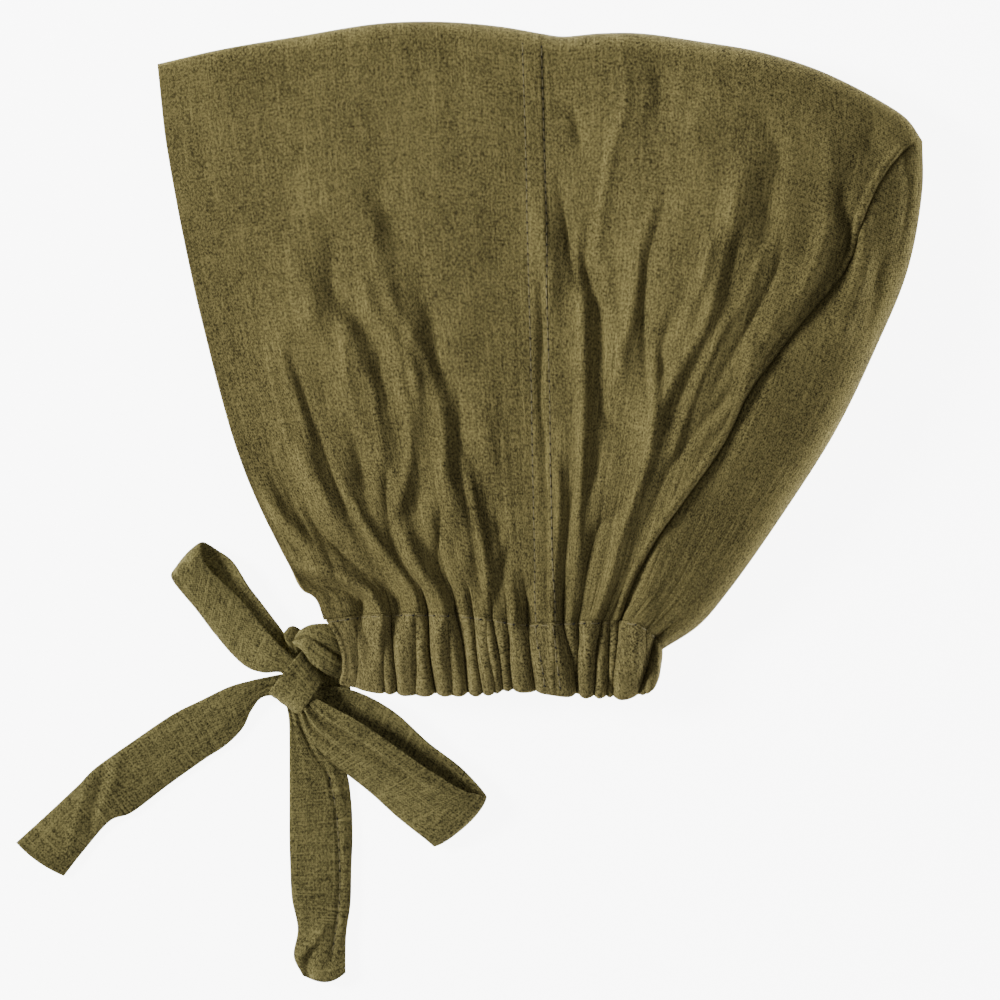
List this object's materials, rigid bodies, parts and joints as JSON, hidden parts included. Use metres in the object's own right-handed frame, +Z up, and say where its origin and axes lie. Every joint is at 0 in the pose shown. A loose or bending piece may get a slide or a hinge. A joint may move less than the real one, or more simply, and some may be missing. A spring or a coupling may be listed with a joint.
{
  "type": "underscarf cap",
  "caption": "Soft woven underscarf cap lying on its side, with an elastic gathered neck casing and two ties tied in a bow.",
  "frame": {"origin": "middle of the cap's outline as it lies on its side, on the surface that it rests on", "axes": "+X from the face edge towards the back of the head, +Y from the neck up to the fold over the head, +Z up from the surface"},
  "size_m": [0.3236, 0.346, 0.0342],
  "materials": {
    "cloth": "matte olive woven cloth with a fine upright slub",
    "casing_cloth": "matte olive woven cloth gathered over elastic",
    "tie_cloth": "matte olive woven cloth, doubled and pressed flat"
  },
  "bodies": {
    "root": {"front_panel": "cloth", "back_panel": "cloth", "neck_band": "casing_cloth", "bow_knot": "tie_cloth", "bow_loop_upper": "tie_cloth", "bow_loop_lower": "tie_cloth", "tie_end_left": "tie_cloth", "tie_end_down": "tie_cloth", "tie_root_near": "tie_cloth", "tie_root_far": "tie_cloth"}
  },
  "joints": []
}
